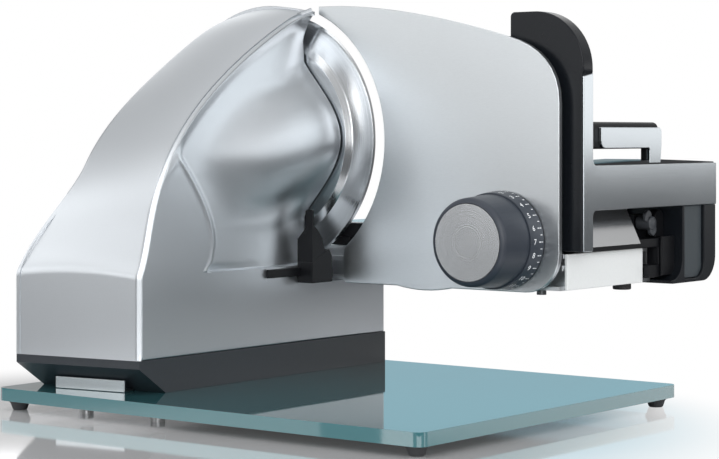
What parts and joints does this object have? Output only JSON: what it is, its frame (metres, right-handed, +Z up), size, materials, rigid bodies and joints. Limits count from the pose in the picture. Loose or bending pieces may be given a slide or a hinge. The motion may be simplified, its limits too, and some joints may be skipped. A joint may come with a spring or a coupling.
{
  "type": "electric food slicer",
  "caption": "Electric food slicer with a sculpted cast motor tower, round blade, adjustable stop plate with dial knob and a sliding food carriage, on a tinted glass base.",
  "frame": {"origin": "middle of the object's outer box, at the table under the feet", "axes": "+X along the stop plate towards the operator, +Y through the blade from the slice side to the food side, +Z up"},
  "size_m": [0.36, 0.379, 0.258],
  "materials": {
    "glass": "tinted toughened glass, polished edges",
    "rubber": "soft black rubber",
    "black_plastic": "fine grained black plastic",
    "slate_paint": "satin slate-black coat",
    "slate_plastic": "satin slate-black plastic",
    "cast_silver": "cast aluminium under satin silver paint",
    "aluminium": "satin anodised",
    "steel": "plain machined steel",
    "polished_steel": "polished stainless steel",
    "copper": "enamelled copper wire",
    "pale_plastic": "pale grey plastic",
    "silver_plastic": "satin silver plastic",
    "knob_plastic": "slate-grey plastic with a printed scale"
  },
  "bodies": {
    "base": {"glass_base": "glass", "rubber_feet": "rubber", "clamp_strip": "steel", "base_plinth": "slate_paint", "base_bolts": "steel", "cord_gland": "rubber", "tower_shell": "cast_silver", "side_cover": "cast_silver", "gear_frame": "cast_silver", "gear_case_cover": "cast_silver", "case_screws": "steel", "motor_can": "steel", "motor_end_bell": "cast_silver", "motor_stator": "steel", "motor_windings": "copper", "motor_bearings": "steel", "motor_cradle": "slate_plastic", "capacitor": "pale_plastic", "capacitor_clip": "steel", "blade_bearings": "steel", "slice_deflector": "black_plastic", "deflector_arm": "black_plastic", "switch_bezel": "slate_plastic", "switch_body": "slate_plastic", "guide_rail": "aluminium", "rail_end_cap": "pale_plastic", "rail_bumper": "rubber", "rail_bolts": "steel", "cam_follower": "steel"},
    "rotor": {"motor_rotor": "steel", "motor_shaft": "steel", "motor_fan": "slate_plastic", "motor_pinion": "steel"},
    "blade": {"drive_gear": "pale_plastic", "blade_shaft": "steel", "blade_flange": "steel", "blade": "polished_steel", "blade_screw": "polished_steel"},
    "stop_plate": {"stop_plate": "aluminium", "guide_pins": "steel", "knob_stud": "steel", "knob_screw": "steel"},
    "knob": {"thickness_knob": "knob_plastic", "scale_ring": "knob_plastic", "knob_disc": "silver_plastic", "knob_cam": "pale_plastic"},
    "carriage": {"carriage_floor": "slate_paint", "food_tray": "polished_steel", "carriage_frame": "slate_paint", "carriage_hood": "slate_paint", "carriage_trim": "aluminium", "thumb_guard": "slate_paint", "handle_grip": "slate_paint", "handle_inlay": "aluminium", "glide_blocks": "black_plastic", "wing_bracket": "black_plastic"},
    "wing_screw": {"wing_screw": "black_plastic"},
    "hold_button": {"hold_button": "silver_plastic"},
    "run_button": {"run_button": "pale_plastic"}
  },
  "joints": [
    {"name": "blade_spin", "type": "hinge", "parent": "base", "child": "blade", "pos_m": [-0.09, 0.0135, 0.168], "axis": [0, 1, 0], "continuous": true},
    {"name": "motor_spin", "type": "hinge", "parent": "base", "child": "rotor", "pos_m": [-0.084, 0.0135, 0.11333], "axis": [0, 1, 0], "continuous": true},
    {"name": "knob_turn", "type": "hinge", "parent": "stop_plate", "child": "knob", "pos_m": [0.098, 0.0095, 0.105], "axis": [0, -1, 0], "range_deg": [0, 330]},
    {"name": "plate_slide", "type": "slide", "parent": "base", "child": "stop_plate", "axis": [0, -1, 0], "range_m": [0, 0.02]},
    {"name": "carriage_slide", "type": "slide", "parent": "base", "child": "carriage", "axis": [-1, 0, 0], "range_m": [0, 0.18]},
    {"name": "wing_turn", "type": "hinge", "parent": "carriage", "child": "wing_screw", "pos_m": [0.135, 0.1225, 0.113], "axis": [1, 0, 0], "range_deg": [0, 90]},
    {"name": "hold_press", "type": "slide", "parent": "base", "child": "hold_button", "axis": [0, -1, 0], "range_m": [0, 0.003], "stiffness_N_per_m": 600, "springref_m": -0.002},
    {"name": "run_press", "type": "slide", "parent": "base", "child": "run_button", "axis": [0, -1, 0], "range_m": [0, 0.003], "stiffness_N_per_m": 600, "springref_m": -0.002}
  ],
  "couplings": [
    {"joint": "motor_spin", "follows": "blade_spin", "ratio": -5.2857},
    {"joint": "knob_turn", "follows": "plate_slide", "rad_per_m": 287.98}
  ]
}
